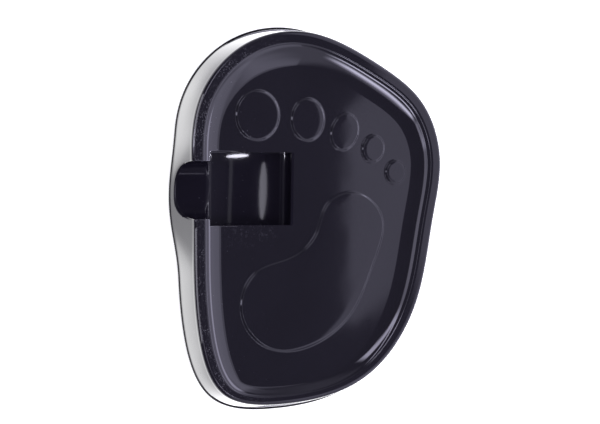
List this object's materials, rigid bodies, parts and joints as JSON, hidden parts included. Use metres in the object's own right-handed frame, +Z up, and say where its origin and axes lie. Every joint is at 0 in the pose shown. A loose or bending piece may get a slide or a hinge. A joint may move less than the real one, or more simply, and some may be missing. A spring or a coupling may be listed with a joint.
{
  "type": "sustain pedal",
  "caption": "Foot pedal with a glossy footprint-shaped tray hinged at the heel, a half-round seat and side channel, return springs, a switch and a jack socket in its base.",
  "frame": {"origin": "middle of the pedal's footprint on the floor, under its rubber feet", "axes": "+Z up, +Y towards the toes, -X towards the side of the big toe, where the channel opens"},
  "size_m": [0.1859, 0.2383, 0.03],
  "materials": {
    "tray_plastic": "glossy moulded blue-black plastic",
    "base_plastic": "fine-grained black moulding",
    "rubber": "matt black rubber",
    "zinc_steel": "zinc-plated steel",
    "spring_steel": "drawn spring wire",
    "nylon": "natural nylon",
    "switch_plastic": "satin black moulding",
    "plunger_plastic": "satin red moulding",
    "brass": "stamped brass",
    "wire_cover": "red wire insulation"
  },
  "bodies": {
    "base": {"base_plate": "base_plastic", "bracket_screw_left_1": "zinc_steel", "bracket_screw_left_2": "zinc_steel", "bracket_screw_right_1": "zinc_steel", "bracket_screw_right_2": "zinc_steel", "down_stop": "rubber", "foot_screw_1": "zinc_steel", "foot_screw_2": "zinc_steel", "foot_screw_3": "zinc_steel", "foot_screw_4": "zinc_steel", "heel_stop": "rubber", "hinge_bracket_left": "zinc_steel", "hinge_bracket_right": "zinc_steel", "hinge_pin": "zinc_steel", "jack_lug_1": "brass", "jack_lug_2": "brass", "jack_nut": "zinc_steel", "jack_socket": "switch_plastic", "lead_wire_1": "wire_cover", "lead_wire_2": "wire_cover", "pin_clip_left": "spring_steel", "pin_clip_right": "spring_steel", "return_spring_left": "spring_steel", "return_spring_right": "spring_steel", "rubber_foot_1": "rubber", "rubber_foot_2": "rubber", "rubber_foot_3": "rubber", "rubber_foot_4": "rubber", "switch_body": "switch_plastic", "switch_bracket": "zinc_steel", "switch_bracket_screw": "zinc_steel", "switch_screw_1": "zinc_steel", "switch_screw_2": "zinc_steel", "switch_terminal_1": "brass", "switch_terminal_2": "brass"},
    "treadle": {"foot_tray": "tray_plastic", "pivot_bush_left": "nylon", "pivot_bush_right": "nylon", "striker_button": "nylon"},
    "plunger": {"switch_plunger": "plunger_plastic"}
  },
  "joints": [
    {"name": "treadle_hinge", "type": "hinge", "parent": "base", "child": "treadle", "pos_m": [-0.012, -0.092, 0.011], "axis": [-1, 0, 0], "range_deg": [0, 1.6], "stiffness_Nm_per_rad": 68, "springref_deg": -1.72, "deforming": ["return_spring_left", "return_spring_right"]},
    {"name": "plunger_slide", "type": "slide", "parent": "base", "child": "plunger", "axis": [0, 0, -1], "range_m": [0, 0.0015]}
  ],
  "couplings": [
    {"joint": "plunger_slide", "follows": "treadle_hinge", "m_per_rad": 0.05}
  ]
}
